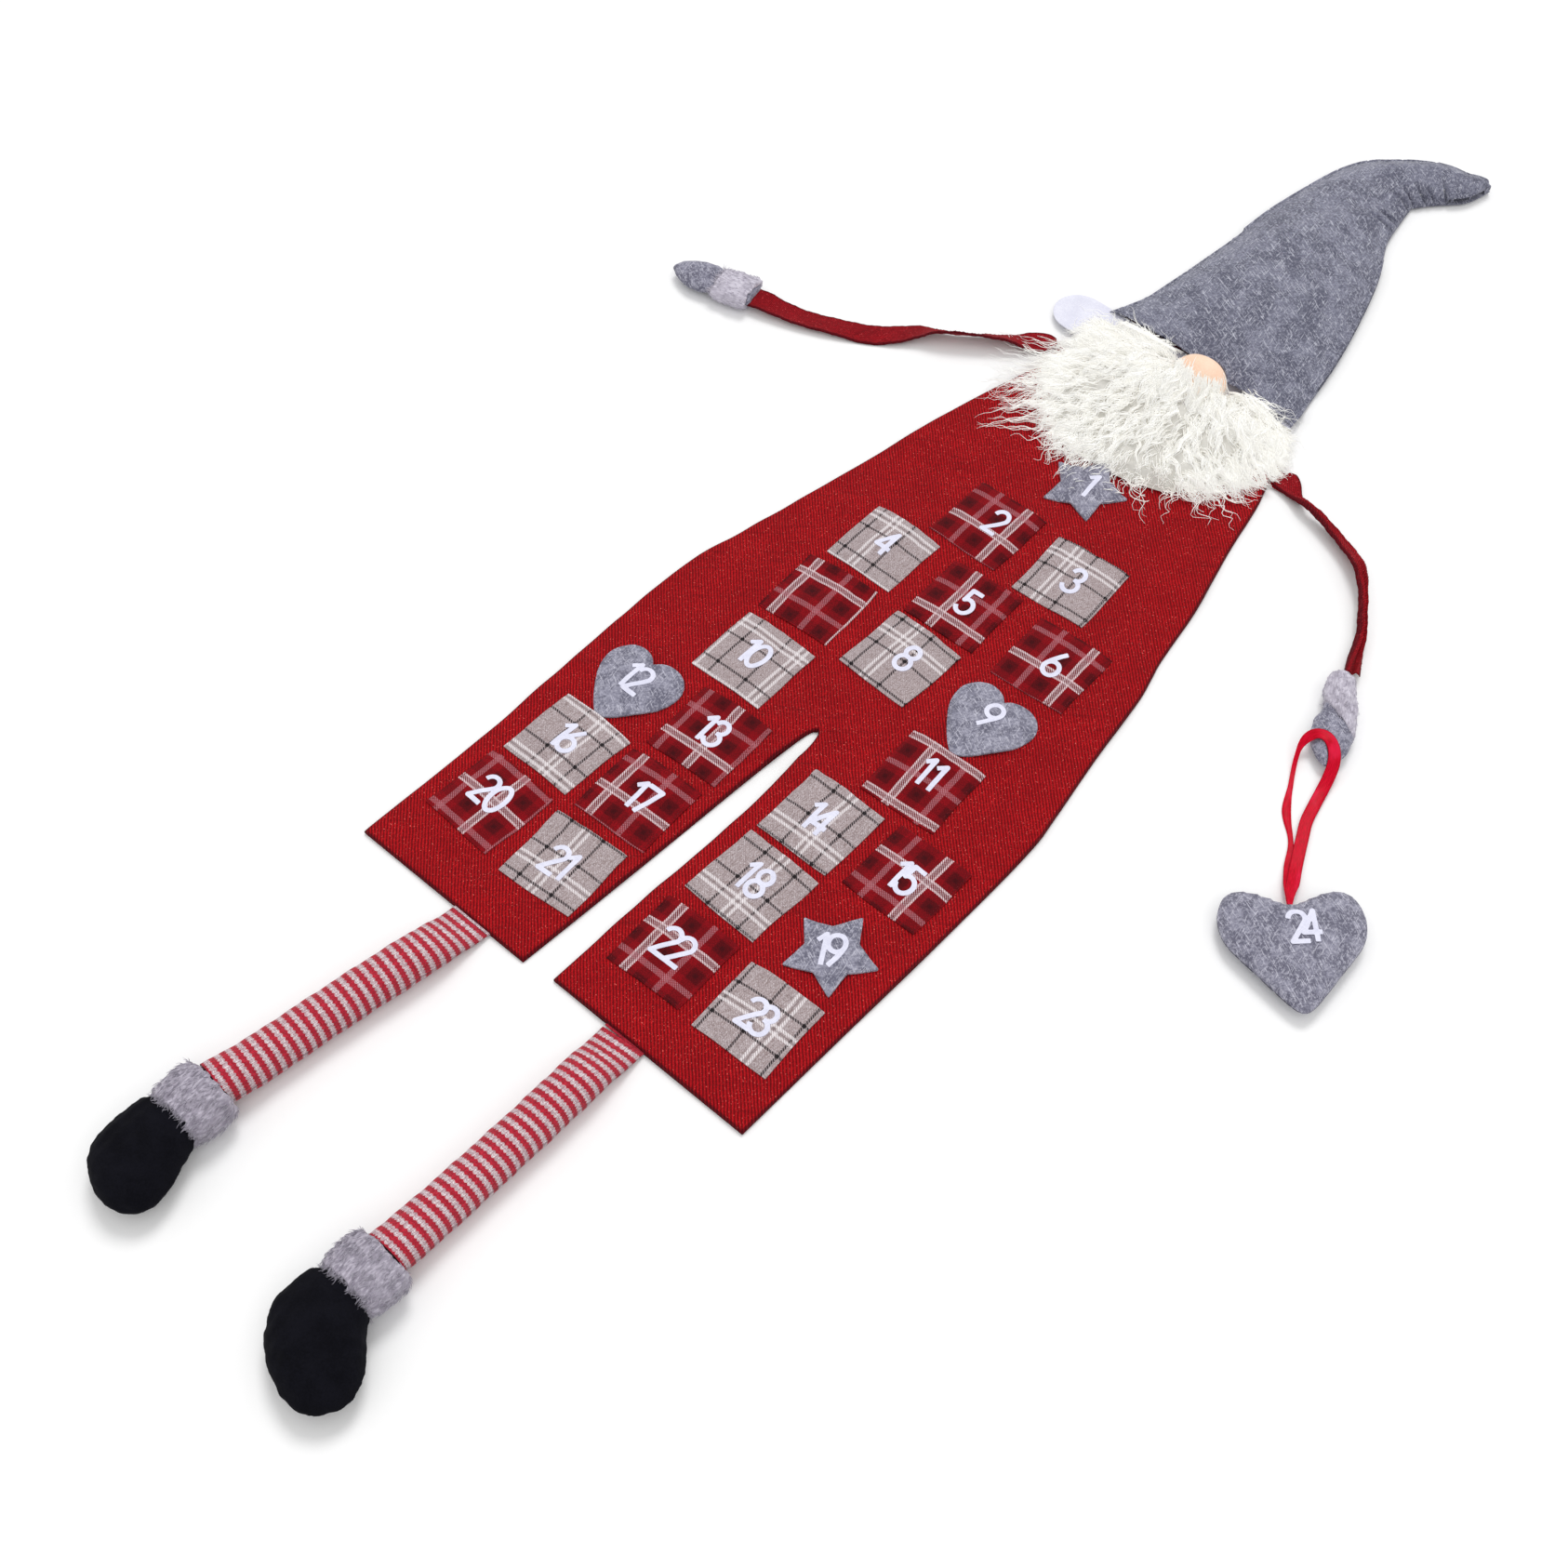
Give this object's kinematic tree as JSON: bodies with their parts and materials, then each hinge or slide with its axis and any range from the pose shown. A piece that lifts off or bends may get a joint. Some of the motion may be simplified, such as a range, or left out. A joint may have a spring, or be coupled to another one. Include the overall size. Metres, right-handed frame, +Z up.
{
  "type": "fabric advent calendar",
  "caption": "Flat hanging gnome of cloth with a stuffed hat, long beard, numbered gift pockets, dangling arms and striped legs, and a stuffed heart on a ribbon.",
  "frame": {"origin": "on the back cloth's underside, on the body's centre line, 400 mm above the trouser hem; the part lies on its back", "axes": "+X across the body towards the arm that holds the heart, +Y from the boots to the hat, +Z up from the floor through the pockets"},
  "size_m": [0.8894, 1.5624, 0.0488],
  "materials": {
    "red_cloth": "coarse woven",
    "white_padding": "matte",
    "striped_knit": "fine knit",
    "grey_felt": "matte felt",
    "red_plaid": "woven",
    "light_plaid": "woven",
    "grey_tape": "woven tape",
    "peach_felt": "matte felt",
    "backing_cloth": "smooth woven",
    "long_fur": "long hair",
    "grey_plush": "plush",
    "black_felt": "matte felt",
    "red_satin": "satin"
  },
  "bodies": {
    "body": {"body_back_panel": "red_cloth", "body_fleece": "white_padding", "body_front_panel": "red_cloth", "left_leg_tab": "striped_knit", "right_leg_tab": "striped_knit", "left_shoulder_tab": "red_cloth", "right_shoulder_tab": "red_cloth", "pocket_01_star": "grey_felt", "pocket_02_red": "red_plaid", "pocket_03_light": "light_plaid", "pocket_04_light": "light_plaid", "pocket_05_red": "red_plaid", "pocket_06_red": "red_plaid", "pocket_07_red": "red_plaid", "pocket_08_light": "light_plaid", "pocket_09_heart": "grey_felt", "pocket_10_light": "light_plaid", "pocket_11_red": "red_plaid", "pocket_12_heart": "grey_felt", "pocket_13_red": "red_plaid", "pocket_14_light": "light_plaid", "pocket_15_red": "red_plaid", "pocket_16_light": "light_plaid", "pocket_17_red": "red_plaid", "pocket_18_light": "light_plaid", "pocket_19_star": "grey_felt", "pocket_20_red": "red_plaid", "pocket_21_light": "light_plaid", "pocket_22_red": "red_plaid", "pocket_23_light": "light_plaid", "hat_front": "grey_felt", "hat_back": "grey_felt", "hat_stuffing": "white_padding", "hanging_loop": "grey_tape", "nose": "peach_felt", "beard_backing_band": "backing_cloth", "beard_fur_left": "long_fur", "beard_fur_right": "long_fur"},
    "left_arm": {"left_arm": "red_cloth"},
    "left_hand": {"left_mitten": "grey_felt", "left_mitten_cuff": "grey_plush"},
    "right_arm": {"right_arm": "red_cloth"},
    "right_hand": {"right_mitten": "grey_felt", "right_mitten_cuff": "grey_plush"},
    "left_leg": {"left_leg": "striped_knit"},
    "left_foot": {"left_boot_cuff": "grey_plush", "left_boot": "black_felt"},
    "right_leg": {"right_leg": "striped_knit"},
    "right_foot": {"right_boot_cuff": "grey_plush", "right_boot": "black_felt"},
    "beard_flap": {"beard_backing_flap": "backing_cloth", "beard_fur_flap": "long_fur"},
    "ornament_ribbon": {"heart_ribbon": "red_satin"},
    "heart": {"heart_front": "grey_felt", "heart_back": "grey_felt", "heart_stuffing": "white_padding"}
  },
  "joints": [
    {"name": "left_shoulder", "type": "hinge", "parent": "body", "child": "left_arm", "pos_m": [-0.13702, 0.363, 0.004], "axis": [0, 0, 1], "range_deg": [-60, 40]},
    {"name": "right_shoulder", "type": "hinge", "parent": "body", "child": "right_arm", "pos_m": [0.12593, 0.368, 0.004], "axis": [0, 0, 1], "range_deg": [-12, 110]},
    {"name": "left_wrist", "type": "hinge", "parent": "left_arm", "child": "left_hand", "pos_m": [-0.36816, 0.22897, 0.0091], "axis": [-0.2238, 0.9746, 0], "range_deg": [0, 75]},
    {"name": "right_wrist", "type": "hinge", "parent": "right_arm", "child": "right_hand", "pos_m": [0.28369, 0.22886, 0.0091], "axis": [-0.9037, -0.4282, 0], "range_deg": [0, 75]},
    {"name": "left_hip", "type": "hinge", "parent": "body", "child": "left_leg", "pos_m": [-0.07504, -0.4076, 0.0027], "axis": [-1, 0, 0], "range_deg": [0, 110]},
    {"name": "right_hip", "type": "hinge", "parent": "body", "child": "right_leg", "pos_m": [0.08098, -0.4036, 0.0027], "axis": [-1, 0, 0], "range_deg": [0, 110]},
    {"name": "left_ankle", "type": "hinge", "parent": "left_leg", "child": "left_foot", "pos_m": [-0.10104, -0.62815, 0.02], "axis": [0, -1, 0], "range_deg": [-30, 90]},
    {"name": "right_ankle", "type": "hinge", "parent": "right_leg", "child": "right_foot", "pos_m": [0.08498, -0.63415, 0.02], "axis": [0, -1, 0], "range_deg": [-30, 90]},
    {"name": "beard_lift", "type": "hinge", "parent": "body", "child": "beard_flap", "pos_m": [-0.007, 0.39, 0.0065], "axis": [-1, 0, 0], "range_deg": [0, 60]},
    {"name": "ribbon_lift", "type": "slide", "parent": "right_hand", "child": "ornament_ribbon", "axis": [0, 0, 1], "range_m": [0, 0.08]},
    {"name": "heart_tilt", "type": "hinge", "parent": "ornament_ribbon", "child": "heart", "pos_m": [0.37585, 0.00952, 0.0131], "axis": [-0.7431, -0.6691, 0], "range_deg": [0, 60]}
  ]
}
